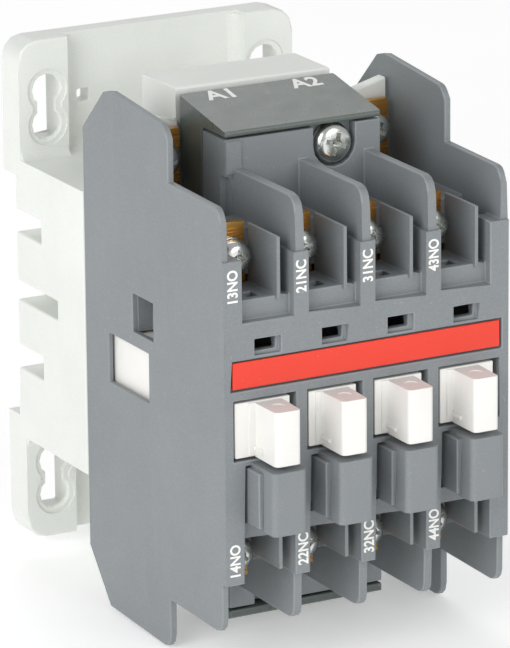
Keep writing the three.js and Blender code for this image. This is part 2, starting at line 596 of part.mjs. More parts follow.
function contactCarrier() {
  const { barFront, barRear, barHalf, stemBottom, stemTop, cheekInner, cheekOuter, cheekRear } = CARRIER;
  const { cheekHalf, pinReach, wingInner, wingOuter, wingRear, wingBottom, wingTop } = CARRIER;
  const crossBar = box([-barHalf, barHalf], [barFront, barRear], [stemBottom, stemTop]);
  const cheekZ = [MAGNET_Z - cheekHalf, MAGNET_Z + cheekHalf];
  const cheeks = bothSides(box([cheekInner, cheekOuter], [barFront + LAP, cheekRear], cheekZ));
  const holeRadius = ARMATURE.pinRadius + GAP;
  const pinHole = roundX([ARMATURE.pinY, MAGNET_Z], holeRadius, [-pinReach, pinReach]);
  const wings = bothSides(box([wingInner, wingOuter], [barFront, wingRear], [wingBottom, wingTop]));
  return cut(join(crossBar, cheeks, wings, POLES.map(carrierPole)), pinHole);
}

function contactBridge(x, open) {
  const { halfWidth, thickness, halfLength, contactAt, contactRadius, contact } = BRIDGE;
  const front = open ? NO_BRIDGE_FRONT : NC_BRIDGE_FRONT;
  const rear = front + thickness;
  const z = [CONTACT_Z - halfLength, CONTACT_Z + halfLength];
  const bar = box([x - halfWidth, x + halfWidth], [front, rear], z);
  const tipY = open ? [front + LAP, rear + contact] : [front - contact, front + LAP];
  const tips = [-1, 1].map((up) => roundY([x, CONTACT_Z + up * contactAt], contactRadius, tipY));
  return join(bar, tips);
}

// ---------------------------------------------------------------- fixed terminals

// Horizontal teeth across the clamping face of a terminal.
function serrations(x, half, front, z0) {
  const { count, pitch, width, depth, start } = SERRATION;
  return Array.from({ length: count }, (_, i) => {
    const z = z0 + start + i * pitch;
    return box([x - half - PAST, x + half + PAST], [front - PAST, front + depth], [z, z + width]);
  });
}

function contactTerminal(x, open, up) {
  const z = (distance) => CONTACT_Z + up * distance;
  const centre = x + TERMINAL.offset;
  const { halfWidth, front, thickness, inner, outer, stripHalf, stripEnd } = TERMINAL;
  const padY = [front, front + thickness];
  const pad = box([centre - halfWidth, centre + halfWidth], padY, [z(inner), z(outer)]);
  const teeth = serrations(centre, halfWidth, front, Math.min(z(inner), z(outer)));
  const hole = roundY([centre, z(TERMINAL.screwAt)], TERMINAL.hole, [-FAR, 0], HOLE_SIDES);
  const leg = open ? NO_STRIP : NC_STRIP;
  const stripX = [x - stripHalf, x + stripHalf];
  const stripY = open ? [leg.rear, leg.rear - thickness] : [leg.front, leg.front + thickness];
  const legY = open ? [front, leg.rear] : [leg.front, front + thickness];
  const neck = box([centre - stripHalf, x + stripHalf], padY, [z(leg.legInner), z(inner + LAP)]);
  const shelf = box(stripX, legY, [z(leg.legInner), z(leg.legOuter)]);
  const strip = box(stripX, stripY, [z(stripEnd), z(leg.legOuter)]);
  const face = open ? leg.rear - thickness : leg.front + thickness;
  const openTip = [face - TIP.proud, face + TIP.openRoot];
  const closedTip = [face - TIP.closedRoot, face + TIP.closedProud];
  const tipY = open ? openTip : closedTip;
  const tip = roundY([x, z(BRIDGE.contactAt)], BRIDGE.contactRadius, tipY);
  return join(cut(pad, teeth, hole), neck, shelf, strip, tip);
}

function coilTerminal(side) {
  const { halfWidth, front, thickness, bottom, top, screwZ } = COIL_TERMINAL;
  const { tailBottom, tailTop, tailRear, tailEnd, tailHalf } = COIL_TERMINAL;
  const x = side * COIL_TERMINAL.x;
  const plateY = [front, front + thickness];
  const plate = box([x - halfWidth, x + halfWidth], plateY, [bottom, top]);
  const teeth = serrations(x, halfWidth, front, bottom);
  const hole = roundY([x, screwZ], TERMINAL.hole, [-FAR, 0], HOLE_SIDES);
  const tailX = [x - tailHalf, x + tailHalf];
  const riser = box(tailX, plateY, [tailBottom, bottom + LAP]);
  const tail = box(tailX, [front, tailRear], [tailBottom, tailTop]);
  const pin = box(tailX, [tailRear - PAST, tailRear], [tailEnd, tailTop]);
  return join(cut(plate, teeth, hole), riser, tail, pin);
}

// ---------------------------------------------------------------- screws, washers, springs

// A pan-head screw along Y with a cross slot, its head's underside at y = seat.
function screw([x, z], seat, length = SCREW.length, headRadius = SCREW.headRadius) {
  const { headHeight: h, shankRadius, point, taper, slotHalf, slotDepth, slotReach } = SCREW;
  const r = headRadius;
  const profile = [
    [0, -h], [r * 0.55, -h], [r * 0.9, -h * 0.72], [r, -h * 0.35], [r, 0], [shankRadius, 0],
    [shankRadius, length - point], [shankRadius - taper, length], [0, length],
  ].map(([radius, y]) => new THREE.Vector2(radius, y));
  const blank = solid(new THREE.LatheGeometry(profile, 12));
  const body = blank.volume() > 0 ? blank : blank.mirror([1, 0, 0]);
  const slotY = [-h - PAST, slotDepth - h];
  const slots = [
    box([-slotHalf, slotHalf], slotY, [-FAR, FAR]),
    box([-r * slotReach, r * slotReach], slotY, [-slotHalf, slotHalf]),
  ];
  return cut(body, slots).translate([x, seat, z]);
}

function washer(at, seat) {
  const disc = roundY(at, WASHER.radius, [seat, seat + WASHER.thickness], 16);
  return cut(disc, roundY(at, WASHER.hole, [-FAR, 0], HOLE_SIDES));
}

// A coil spring along its own +Z, from 0 to length, closed at both ends.
class SpringCurve extends THREE.Curve {
  constructor(radius, length, turns) {
    super();
    Object.assign(this, { radius, length, turns });
  }

  getPoint(t, target = new THREE.Vector3()) {
    const angle = 2 * Math.PI * this.turns * t;
    return target.set(this.radius * Math.cos(angle), this.radius * Math.sin(angle), this.length * t);
  }
}

function spring({ radius, wire, turns }, length) {
  const section = Array.from({ length: WIRE_SIDES }, (_, i) => {
    const angle = (2 * Math.PI * i) / WIRE_SIDES;
    return new THREE.Vector2(wire * Math.cos(angle), wire * Math.sin(angle));
  });
  const path = new SpringCurve(radius, length - 2 * wire, turns);
  const options = { steps: turns * SPRING_STEPS, extrudePath: path, bevelEnabled: false };
  const geometry = new THREE.ExtrudeGeometry(new THREE.Shape(section), options);
  geometry.translate(0, 0, wire);
  return solid(geometry);
}

const alongY = (body, x, y, z) => body.rotate([-90, 0, 0]).translate([x, y, z]);

// ---------------------------------------------------------------- rail latch

function railLatch() {
  const { halfWidth, front, rear, top, bottom, plateTop, lipBottom, lipFront } = LATCH;
  const { tongue, tongueFront, tongueRear, tongueBottom, tongueTop } = LATCH;
  const { windowHalf, windowBottom, windowTop, slotHalf, slotBottom, slotTop } = LATCH;
  const plate = box([-halfWidth, halfWidth], [front, rear], [bottom, plateTop]);
  const lip = box([-halfWidth, halfWidth], [lipFront, rear], [lipBottom, top]);
  const tongues = box([-tongue, tongue], [tongueFront, tongueRear], [tongueBottom, tongueTop]);
  const window = box([-windowHalf, windowHalf], [-FAR, FAR], [windowBottom, windowTop]);
  const pullSlot = box([-slotHalf, slotHalf], [-FAR, FAR], [slotBottom, slotTop]);
  return cut(join(plate, lip, tongues), window, pullSlot);
}

function labelStrip() {
  const half = LABEL.halfWidth - GAP;
  const rear = FRONT + LABEL.recess - GAP;
  return box([-half, half], [rear - LABEL.thickness, rear], [LABEL.bottom + GAP, LABEL.top - GAP]);
}

// ---------------------------------------------------------------- materials and assembly

function material(color, roughness, metalness = 0) {
  return new THREE.MeshStandardMaterial({ color, roughness, metalness });
}
const LIGHT_GREY = material(0xe9ebe6, 0.5);
const HOUSING_GREY = material(0x8d9296, 0.5);
const COVER_GREY = material(0x6c726e, 0.45);
const WHITE = material(0xf4f3ee, 0.4);
const BRASS = material(0xb5833c, 0.35, 1);
const ZINC = material(0xb9beb8, 0.3, 1);
const STEEL = material(0x9a9d9f, 0.35, 1);
const LAMINATION = material(0x5d6064, 0.55, 1);
const COPPER = material(0xb06a3a, 0.35, 1);
const SILVER = material(0xd2d0c8, 0.3, 1);
const RUBBER = material(0x2b2b2d, 0.85);
const NYLON = material(0x33383a, 0.55);
const RED = material(0xf04a30, 0.45);

const relay = new THREE.Group();

function add(name, body, finish) {
  const mesh = new THREE.Mesh(geometryOf(body), finish);
  mesh.name = name;
  relay.add(mesh);
}

add('base_housing', baseHousing(), LIGHT_GREY);
add('contact_housing', contactHousing(), HOUSING_GREY);
add('coil_cover_upper', coilCover(1), COVER_GREY);
add('coil_cover_lower', coilCover(-1), COVER_GREY);
add('label_strip', labelStrip(), RED);

add('core_cushion', coreCushion(), RUBBER);
add('fixed_core', fixedCore(), LAMINATION);
add('shading_ring_upper', shadingRing(1), COPPER);
add('shading_ring_lower', shadingRing(-1), COPPER);
add('coil_bobbin', coilBobbin(), NYLON);
add('coil_winding', coilWinding(), COPPER);

add('contact_carrier', contactCarrier(), WHITE);
add('armature', armature(), LAMINATION);
const pinX = [-ARMATURE.pinHalf, ARMATURE.pinHalf];
add('armature_pin', roundX([ARMATURE.pinY, MAGNET_Z], ARMATURE.pinRadius, pinX), STEEL);

POLES.forEach((x, i) => {
  const open = POLE_IS_NO[i];
  add(`contact_bridge_${i + 1}`, contactBridge(x, open), SILVER);
  const start = open ? CONTACT_SPRING.openStart : NC_BRIDGE_FRONT + BRIDGE.thickness + GAP;
  const end = open ? NO_BRIDGE_FRONT - GAP : CONTACT_SPRING.closedEnd;
  add(`contact_spring_${i + 1}`, alongY(spring(CONTACT_SPRING, end - start), x, start, CONTACT_Z), STEEL);
});

const returnStart = CARRIER.barRear + GAP;
const returnLength = BOBBIN.front - GAP - returnStart;
const returnSpring = (x) => alongY(spring(RETURN_SPRING, returnLength), x, returnStart, MAGNET_Z);
add('return_spring_left', returnSpring(-RETURN_SPRING.x), STEEL);
add('return_spring_right', returnSpring(RETURN_SPRING.x), STEEL);

[[1, UPPER_NUMBERS], [-1, LOWER_NUMBERS]].forEach(([up, numbers]) => numbers.forEach((number, i) => {
  const at = [POLES[i] + TERMINAL.offset, CONTACT_Z + up * TERMINAL.screwAt];
  const washerSeat = TERMINAL.front - GAP - WASHER.thickness;
  add(`terminal_${number}`, contactTerminal(POLES[i], POLE_IS_NO[i], up), BRASS);
  add(`terminal_washer_${number}`, washer(at, washerSeat), ZINC);
  add(`terminal_screw_${number}`, screw(at, washerSeat - GAP), ZINC);
}));

[['a1', -1], ['a2', 1]].forEach(([name, side]) => {
  const at = [side * COIL_TERMINAL.x, COIL_TERMINAL.screwZ];
  const washerSeat = COIL_TERMINAL.front - GAP - WASHER.thickness;
  add(`coil_terminal_${name}`, coilTerminal(side), BRASS);
  add(`coil_washer_${name}`, washer(at, washerSeat), ZINC);
  add(`coil_screw_${name}`, screw(at, washerSeat - GAP), ZINC);
});

const headSeat = HOUSING_SCREW.seat - GAP;
const housingScrew = (at) => screw(at, headSeat, HOUSING_SCREW.length, HOUSING_SCREW.headRadius);
add('housing_screw_upper', housingScrew([HOUSING_SCREW.x, HOUSING_SCREW.upperZ]), ZINC);
add('housing_screw_lower', housingScrew([-HOUSING_SCREW.x, HOUSING_SCREW.lowerZ]), ZINC);

add('rail_latch', railLatch(), NYLON);
const latchSpringEnd = LATCH_POST.top + GAP;
const latchSpring = spring(LATCH_SPRING, LATCH.windowTop - GAP - latchSpringEnd);
add('rail_latch_spring', latchSpring.translate([0, (LATCH.front + LATCH.rear) / 2, latchSpringEnd]), STEEL);

export default relay;
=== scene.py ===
# %% [markdown]
# # A control relay for a mounting rail
#
# The relay is a light grey base that hangs on the rail, a grey front housing with four contact
# chambers, a dark cover over the coil, a red strip, and a white slider that pushes the contacts.
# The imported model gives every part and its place, in metres. Here the parts get the rounded
# edges, small mouldings and finishes of the real object. The helpers take millimetres.

import math

import bmesh
import bpy
from mathutils import Matrix, Vector
from mathutils.geometry import intersect_line_line_2d


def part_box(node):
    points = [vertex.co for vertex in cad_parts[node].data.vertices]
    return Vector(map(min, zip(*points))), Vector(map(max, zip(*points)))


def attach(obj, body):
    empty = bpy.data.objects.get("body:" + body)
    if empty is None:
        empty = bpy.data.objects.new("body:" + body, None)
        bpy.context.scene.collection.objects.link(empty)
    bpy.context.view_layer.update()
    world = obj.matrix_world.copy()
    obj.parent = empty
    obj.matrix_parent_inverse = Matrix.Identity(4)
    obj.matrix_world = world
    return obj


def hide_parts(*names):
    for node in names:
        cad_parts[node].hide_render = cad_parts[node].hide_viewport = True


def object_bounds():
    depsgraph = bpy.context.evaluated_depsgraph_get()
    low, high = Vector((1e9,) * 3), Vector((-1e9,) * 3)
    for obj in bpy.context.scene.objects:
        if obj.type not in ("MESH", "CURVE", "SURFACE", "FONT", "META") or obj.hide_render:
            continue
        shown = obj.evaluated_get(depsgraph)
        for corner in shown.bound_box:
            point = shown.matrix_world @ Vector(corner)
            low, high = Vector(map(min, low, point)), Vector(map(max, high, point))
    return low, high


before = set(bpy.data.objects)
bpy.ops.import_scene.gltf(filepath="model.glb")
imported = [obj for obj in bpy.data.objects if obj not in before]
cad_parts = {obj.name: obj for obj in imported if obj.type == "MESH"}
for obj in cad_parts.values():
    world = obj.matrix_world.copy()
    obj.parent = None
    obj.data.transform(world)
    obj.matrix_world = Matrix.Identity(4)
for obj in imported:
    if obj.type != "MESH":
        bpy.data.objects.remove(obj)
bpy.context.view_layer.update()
MM = 0.001
POLE_PITCH = 10.2
POLES = [step * POLE_PITCH * MM for step in (-1.5, -0.5, 0.5, 1.5)]
UPPER_NUMBERS = ("13", "21", "31", "43")
LOWER_NUMBERS = ("14", "22", "32", "44")
COIL_MARKS = ("a1", "a2")

# %% [markdown]
# ## Shader maths
#
# A finish is a small network of nodes. Written node by node it is long and hard to read, so one
# class wraps a socket and lets Python's own operators add the Math nodes. A second class owns the
# material, and one method makes every other kind of node.

# %% A socket that can be added, multiplied and mixed
class Wire:
    """One output of a node. Arithmetic on it adds Math nodes."""

    def __init__(self, finish, socket):
        self.finish, self.socket = finish, socket

    def maths(self, operation, first, second):
        return self.finish.node("Math", {"operation": operation}, {0: first, 1: second})

    def __add__(self, other):
        return self.maths("ADD", self, other)

    def __sub__(self, other):
        return self.maths("SUBTRACT", self, other)

    def __rsub__(self, other):
        return self.maths("SUBTRACT", other, self)

    def __mul__(self, other):
        return self.maths("MULTIPLY", self, other)

    __radd__, __rmul__ = __add__, __mul__


# %% A material with one Principled shader
class Finish:
    """A material. Keyword arguments such as Roughness=0.4 set the shader's own sockets."""

    def __init__(self, name, **constants):
        self.material = bpy.data.materials.new(name)
        self.material.use_nodes = True
        self.tree = self.material.node_tree
        self.shader = self.tree.nodes["Principled BSDF"]
        self.place = self.node("TexCoord", output="Object")
        self.feed(**{name.replace("_", " "): value for name, value in constants.items()})

    def node(self, kind, settings=None, values=None, output=0):
        made = self.tree.nodes.new("ShaderNode" + kind)
        for name, value in (settings or {}).items():
            if name == "stops":
                self.set_stops(made.color_ramp, value)
            else:
                setattr(made, name, value)
        for name, value in (values or {}).items():
            self.connect(made.inputs[name], value)
        return Wire(self, made.outputs[output])

    def set_stops(self, ramp, stops):
        for stop, (position, grey) in zip(ramp.elements, stops):
            stop.position, stop.color = position, (grey, grey, grey, 1)

    def connect(self, socket, value):
        if isinstance(value, Wire):
            self.tree.links.new(value.socket, socket)
        else:
            socket.default_value = value

    def feed(self, **values):
        for name, value in values.items():
            self.connect(self.shader.inputs[name], value)

    def noise(self, scale, detail=2, stretch=(1, 1, 1)):
        place = self.node("Mapping", None, {"Vector": self.place, "Scale": stretch})
        return self.node("TexNoise", None, {"Vector": place, "Scale": scale, "Detail": detail})

    def ramp(self, value, low, high):
        """0 below the low value, 1 above the high one, and a slope between them."""
        return self.node("ValToRGB", {"stops": [(low, 0.0), (high, 1.0)]}, {"Fac": value})

    def mix(self, factor, first, second):
        values = {0: factor, 6: first, 7: second}
        return self.node("Mix", {"data_type": "RGBA"}, values, output=2)

    def relief(self, height, strength, depth):
        values = {"Height": height, "Strength": strength, "Distance": depth}
        self.feed(Normal=self.node("Bump", None, values))


def colour(red, green, blue):
    """A screen colour, 0 to 255, as the linear values that a shader wants."""
    def linear(c):
        return c / 12.92 if c <= 0.04045 else ((c + 0.055) / 1.055) ** 2.4
    return (linear(red / 255), linear(green / 255), linear(blue / 255), 1)


def shade(tone, factor):
    """The same colour, lighter or darker."""
    return (tone[0] * factor, tone[1] * factor, tone[2] * factor, 1)


# %% [markdown]
# ## Moulded plastic
#
# The housings are injection moulded in a spark-eroded tool, which leaves a fine matt grain. Close
# up the plastic is never one colour: glass fibre and filler fleck it, and dust and handling change
# its gloss in patches. Painting all that as an image would fix its resolution, so noise at several
# sizes does it: broad tone, patches of gloss, scuffs, dust, grain and fine flecks. The rounded
# edges carry a face attribute, and the finish is painted lighter there: a painted highlight along
# each edge, where a real edge catches the light.

# %% The plastic finish
def plastic(name, tone, roughness, grain=0.3, fleck=0.07, painted_edge_highlight=1.12, **constants):
    finish = Finish(name, **constants)
    broad = finish.ramp(finish.noise(70, 3), 0.35, 0.68)
    flecks = finish.ramp(finish.noise(5200, 2), 0.38, 0.62)
    dust = finish.ramp(finish.noise(1900, 1), 0.70, 0.78)
    patches = finish.noise(330, 4)
    scuffs = finish.ramp(finish.noise(420, 3, stretch=(1, 1, 0.12)), 0.60, 0.72)
    # Painted highlight: the rounded edges are painted lighter, by the factor given for them.
    edge = finish.node("Attribute", {"attribute_name": "painted_edge_highlight"}, output="Fac")
    body = finish.mix(broad, shade(tone, 0.965), shade(tone, 1.03))
    flecked = finish.mix(flecks * fleck, body, shade(tone, 1.9))
    darker = finish.mix((1 - flecks) * fleck, flecked, shade(tone, 0.35))
    dusty = finish.mix(dust * 0.10, darker, (0.75, 0.74, 0.70, 1))
    finish.feed(**{"Base Color": finish.mix(edge * 0.8, dusty, shade(tone, painted_edge_highlight))})
    gloss = roughness + (patches - 0.5) * 0.16 - edge * 0.06 - scuffs * 0.05
    finish.feed(Roughness=gloss)
    coarse = finish.noise(2600, 3)
    finish.relief(coarse * 0.7 + flecks * 0.3, grain, 0.03 * MM)
    return finish


# The last factor of each is how much lighter the rounded edges are painted: a painted highlight.
LIGHT_GREY = plastic("light_grey_plastic", colour(234, 237, 232), 0.46, fleck=0.03, painted_edge_highlight=1.02)
HOUSING_GREY = plastic("housing_grey_plastic", colour(133, 138, 141), 0.48, fleck=0.07, painted_edge_highlight=1.2)
COVER_GREY = plastic("cover_grey_plastic", colour(92, 100, 96), 0.30, fleck=0.09, painted_edge_highlight=1.35)
WHITE = plastic("white_plastic", colour(243, 242, 238), 0.36, fleck=0.015, painted_edge_highlight=1.0)
RED = plastic("red_label_plastic", colour(238, 62, 40), 0.34, grain=0.15, fleck=0.03, painted_edge_highlight=1.1)
NYLON = plastic("dark_nylon", colour(52, 57, 60), 0.52, fleck=0.06, painted_edge_highlight=1.6)
RUBBER = plastic("black_rubber", colour(38, 38, 40), 0.85, grain=0.6, fleck=0.04, painted_edge_highlight=1.4)
INK = plastic("white_print", colour(246, 246, 243), 0.55, grain=0.2, fleck=0.05, painted_edge_highlight=1.0)
print("plastics:", [m.name for m in bpy.data.materials if "plastic" in m.name])

# %% [markdown]
# ## Metals
#
# Three things make metal look made rather than computed: the direction in which it was rolled or
# turned, the uneven film on it, and the handling marks. Brass terminals are stamped from rolled
# strip, so their scratches run one way. Zinc on screws has a thin yellowish film in soft
# blotches. The magnet's steel is a stack of thin sheets, which show as lines across its edges.

# %% The metal finish
def metal(name, tone, film, roughness, stretch=(1, 1, 1), blotch=240, film_share=0.5):
    finish = Finish(name, Metallic=1.0)
    lines = finish.noise(1500, 4, stretch)
    blotches = finish.ramp(finish.noise(blotch, 4), 0.36, 0.66)
    pits = finish.ramp(finish.noise(4200, 1), 0.68, 0.76)
    # Painted highlight: the rounded edges are painted lighter than the rest of the metal.
    edge = finish.node("Attribute", {"attribute_name": "painted_edge_highlight"}, output="Fac")
    filmed = finish.mix(blotches * film_share, tone, film)
    with_painted_highlight = finish.mix(edge * 0.5, filmed, shade(tone, 1.15))
    finish.feed(**{"Base Color": finish.mix(pits * 0.5, with_painted_highlight, shade(tone, 0.45))})
    finish.feed(Roughness=roughness + (lines - 0.5) * 0.22 + blotches * 0.10 - edge * 0.05)
    finish.relief(lines * 0.8 + pits * 0.2, 0.35, 0.02 * MM)
    return finish


ACROSS = (0.05, 1, 1)
BRASS = metal("brass", colour(228, 176, 98), colour(176, 120, 60), 0.28, ACROSS)
ZINC = metal("zinc_plate", colour(226, 228, 226), colour(198, 200, 186), 0.20, blotch=700)
STEEL = metal("spring_steel", colour(176, 180, 184), colour(120, 122, 126), 0.30, blotch=900)
SILVER = metal("silver_contact", colour(225, 222, 212), colour(180, 176, 160), 0.28, blotch=900)


# %% Stacked and wound metals
def striped(name, tone, gap, roughness, direction, pitch):
    """A metal made of layers a pitch apart, with dark lines between them."""
    finish = Finish(name, Metallic=1.0)
    settings = {"wave_type": "BANDS", "bands_direction": direction, "wave_profile": "SIN"}
    wave_scale = math.pi / 10 / pitch
    values = {"Vector": finish.place, "Scale": wave_scale, "Distortion": 0.15}
    layers = finish.node("TexWave", settings, values)
    lines = finish.ramp(layers, 0.08, 0.35)
    stain = finish.ramp(finish.noise(300, 4), 0.35, 0.70)
    body = finish.mix(stain * 0.4, tone, shade(tone, 0.7))
    finish.feed(**{"Base Color": finish.mix(lines, gap, body)})
    finish.feed(Roughness=roughness + stain * 0.15)
    finish.relief(layers, 0.6, 0.05 * MM)
    return finish


LAMINATION = striped("lamination_steel", colour(128, 132, 136), colour(46, 46, 48), 0.42, "X", 0.5 * MM)
COPPER = striped("enamelled_copper", colour(190, 112, 62), colour(86, 40, 20), 0.26, "Y", 0.3 * MM)
METALS = (BRASS, ZINC, STEEL, SILVER, LAMINATION, COPPER)
print("metals:", [finish.material.name for finish in METALS])

# %% [markdown]
# ## Working on a copy of a part
#
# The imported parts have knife-sharp edges, which no moulding or stamping has: every real edge
# catches a thin line of light. A Bevel modifier on the whole part would fold over itself where
# edges are short. So a copy is merged into one clean mesh, and each sharp edge that has room is
# bevelled, unless that would fold a face. Extra mouldings are joined or cut first, so that they
# are rounded too.

# %% Copies, blocks and rods
WELD = 0.002 * MM


def merged_copy(node):
    mesh = bmesh.new()
    mesh.from_mesh(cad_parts[node].data)
    bmesh.ops.remove_doubles(mesh, verts=mesh.verts, dist=WELD)
    return mesh


def block(x, y, z):
    """A box between two corners, given axis by axis in millimetres."""
    mesh = bmesh.new()
    bmesh.ops.create_cube(mesh, size=1)
    spans = [Vector((low, high)) * MM for low, high in (x, y, z)]
    size = Vector([abs(high - low) for low, high in spans])
    bmesh.ops.scale(mesh, vec=size, verts=mesh.verts)
    centre = Vector([(low + high) / 2 for low, high in spans])
    bmesh.ops.translate(mesh, vec=centre, verts=mesh.verts)
    return mesh


def rod(axis, centre, radius, length, sides=32):
    """A round bar along X, Y or Z about a centre point, in millimetres."""
    mesh = bmesh.new()
    bmesh.ops.create_cone(mesh, cap_ends=True, segments=sides, radius1=radius * MM,
                          radius2=radius * MM, depth=length * MM)
    turn = {"X": Matrix.Rotation(math.pi / 2, 3, "Y"), "Y": Matrix.Rotation(math.pi / 2, 3, "X"),
            "Z": Matrix.Identity(3)}[axis]
    bmesh.ops.rotate(mesh, cent=(0, 0, 0), matrix=turn, verts=mesh.verts)
    bmesh.ops.translate(mesh, vec=Vector(centre) * MM, verts=mesh.verts)
    return mesh


# %% Joining and cutting
def as_object(name, mesh):
    data = bpy.data.meshes.new(name)
    mesh.to_mesh(data)
    mesh.free()
    made = bpy.data.objects.new(name, data)
    bpy.context.scene.collection.objects.link(made)
    return made


def combine(mesh, tools, operation):
    """The mesh with each tool joined on or cut away, by the Boolean modifier."""
    body = as_object("blank", mesh)
    helpers = [as_object("tool", tool) for tool in tools]
    for helper in helpers:
        step = body.modifiers.new("step", "BOOLEAN")
        step.operation, step.solver, step.object = operation, "MANIFOLD", helper
    result = bmesh.new()
    result.from_object(body, bpy.context.evaluated_depsgraph_get())
    for used in [body, *helpers]:
        data = used.data
        bpy.data.objects.remove(used)
        bpy.data.meshes.remove(data)
    bmesh.ops.remove_doubles(result, verts=result.verts, dist=WELD)
    return result


def joined(mesh, *tools):
    return combine(mesh, tools, "UNION")


def without(mesh, *tools):
    return combine(mesh, tools, "DIFFERENCE")


# %% Rounding the edges that have room
SHARP, FLAT, FOLDED = math.radians(50), math.radians(1), math.radians(150)
SLIVER = 0.02 * MM
ROOM_BESIDE_SHARP, ROOM_BESIDE_FLAT = 2.4, 1.5
AREA_RATIO, AREA_NOISE = 1.0005, 1e-10
ATTEMPTS = 12


def is_sharp(edge):
    return edge.is_manifold and edge.calc_face_angle(0) > SHARP


def has_room(edge, width):
    """True if the edge and its neighbours are long enough for a bevel of this width."""
    if edge.calc_length() < ROOM_BESIDE_SHARP * width:
        return False
    for neighbour in (other for corner in edge.verts for other in corner.link_edges):
        room = ROOM_BESIDE_SHARP if is_sharp(neighbour) else ROOM_BESIDE_FLAT
        if neighbour is not edge and neighbour.calc_length() < room * width:
            return False
    return True


def middle(edge):
    """The middle of an edge, in millimetres."""
    return (edge.verts[0].co + edge.verts[1].co) / 2 / MM


def clean(mesh):
    """Merges the flat triangles into whole faces and removes slivers."""
    bmesh.ops.dissolve_limit(mesh, angle_limit=FLAT, verts=mesh.verts, edges=mesh.edges)
    bmesh.ops.dissolve_degenerate(mesh, dist=SLIVER, edges=mesh.edges)


def torn_places(mesh):
    """Points where a face folds over: where its outline crosses itself, or two faces close up."""
    places = [middle(edge) for edge in mesh.edges
              if edge.is_manifold and edge.calc_face_angle(0) > FOLDED]
    drawn = {}
    for corners in mesh.calc_loop_triangles():
        a, b, c = (loop.vert.co for loop in corners)
        face = corners[0].face
        drawn[face] = drawn.get(face, 0) + (b - a).cross(c - a).length / 2
    for face, area in drawn.items():
        if len(face.verts) > 4 and area > face.calc_area() * AREA_RATIO + AREA_NOISE:
            places += crossings(face)
    return places


def crossings(face):
    """Where the outline of a flat face crosses itself, in millimetres."""
    turn = face.normal.to_track_quat("Z", "Y").inverted()
    flat = [(turn @ vert.co).to_2d() / MM for vert in face.verts]
    sides = list(zip(flat, flat[1:] + flat[:1]))
    found = []
    for i, (a, b) in enumerate(sides):
        for j in range(i + 2, len(sides) - (i == 0)):
            hit = intersect_line_line_2d(a, b, *sides[j])
            if hit:
                nearest = min(face.verts, key=lambda v: ((turn @ v.co).to_2d() / MM - hit).length)
                found.append(nearest.co / MM)
    return found or [face.calc_center_median() / MM]


def soften(mesh, width, segments=2, where=None):
    """Bevels sharp edges by a width in millimetres, leaving out those that would fold a face."""
    layer = mesh.faces.layers.float
    if not layer.get("painted_edge_highlight"):
        layer.new("painted_edge_highlight")
    mesh.edges.ensure_lookup_table()
    mesh.edges.index_update()
    chosen = {edge.index for edge in mesh.edges
              if is_sharp(edge) and has_room(edge, width * MM) and (not where or where(middle(edge)))}
    settings = {"offset": width * MM, "offset_type": "OFFSET", "segments": segments, "profile": 0.5,
                "affect": "EDGES", "material": -1, "loop_slide": True, "clamp_overlap": False}
    already = len(torn_places(mesh))
    for attempt in range(ATTEMPTS):
        trial = mesh.copy()
        trial.edges.ensure_lookup_table()
        bmesh.ops.bevel(trial, geom=[trial.edges[i] for i in chosen], **settings)
        torn = torn_places(trial)
        trial.free()
        if len(torn) <= already:
            break
        reach = (2 + attempt) * width
        chosen -= {i for i in chosen for place in torn if near(mesh.edges[i], place, reach)}
    else:
        return 0
    made = bmesh.ops.bevel(mesh, geom=[mesh.edges[i] for i in chosen], **settings)
    # The bevelled faces are marked, and the finishes paint them lighter: a painted highlight on each
    # rounded edge.
    painted_edge_highlight = layer.get("painted_edge_highlight")
    for face in made["faces"]:
        face[painted_edge_highlight] = 1.0
    return len(chosen)


def near(edge, place, reach):
    """True if a point lies within reach of an edge, all in millimetres."""
    a, b = (vert.co / MM for vert in edge.verts)
    along = b - a
    share = max(0, min(1, (place - a).dot(along) / along.length_squared))
    return (a + along * share - place).length < reach


# %% Turning a mesh into a finished piece
def piece(name, mesh, finish, body, slot, *nodes):
    """An object that rides on a body, takes a material slot and stands for CAD nodes. Its slot argument
    is not used.
    """
    for face in mesh.faces:
        face.smooth = True
    for edge in mesh.edges:
        edge.smooth = not is_sharp(edge)
    made = as_object(name, mesh)
    made.data.materials.append(finish.material)
    weighted = made.modifiers.new("weighted_normals", "WEIGHTED_NORMAL")
    weighted.keep_sharp = True
    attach(made, body)
    if nodes:
        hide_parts(*nodes)
    print(f"{name}: {len(made.data.polygons)} faces")
    return made


def rounded_copy(name, node, finish, body, slot, width):
    """A part's own shape with its edges rounded."""
    mesh = merged_copy(node)
    clean(mesh)
    soften(mesh, width)
    return piece(name, mesh, finish, body, slot, node)


# %% [markdown]
# ## The base
#
# The base is a pale grey moulding. It has a panel with four mounting slots, a body with the
# rail channel behind, and a tower that carries the coil block. On the real one the panel flows
# into its pads and body through wide hollow fillets, and each slot sits in a shallow ring. A
# fillet between parts this complex is safer added than bevelled: each is a square strip with a
# round bar cut out of it. One fault is left: the lower fillet crosses the latch's opening and
# sinks up to 0.3 mm into the latch.

# %% Hollow fillets
SKIN = 0.15
OVERSHOOT = 2
COVE_SIDES = 48


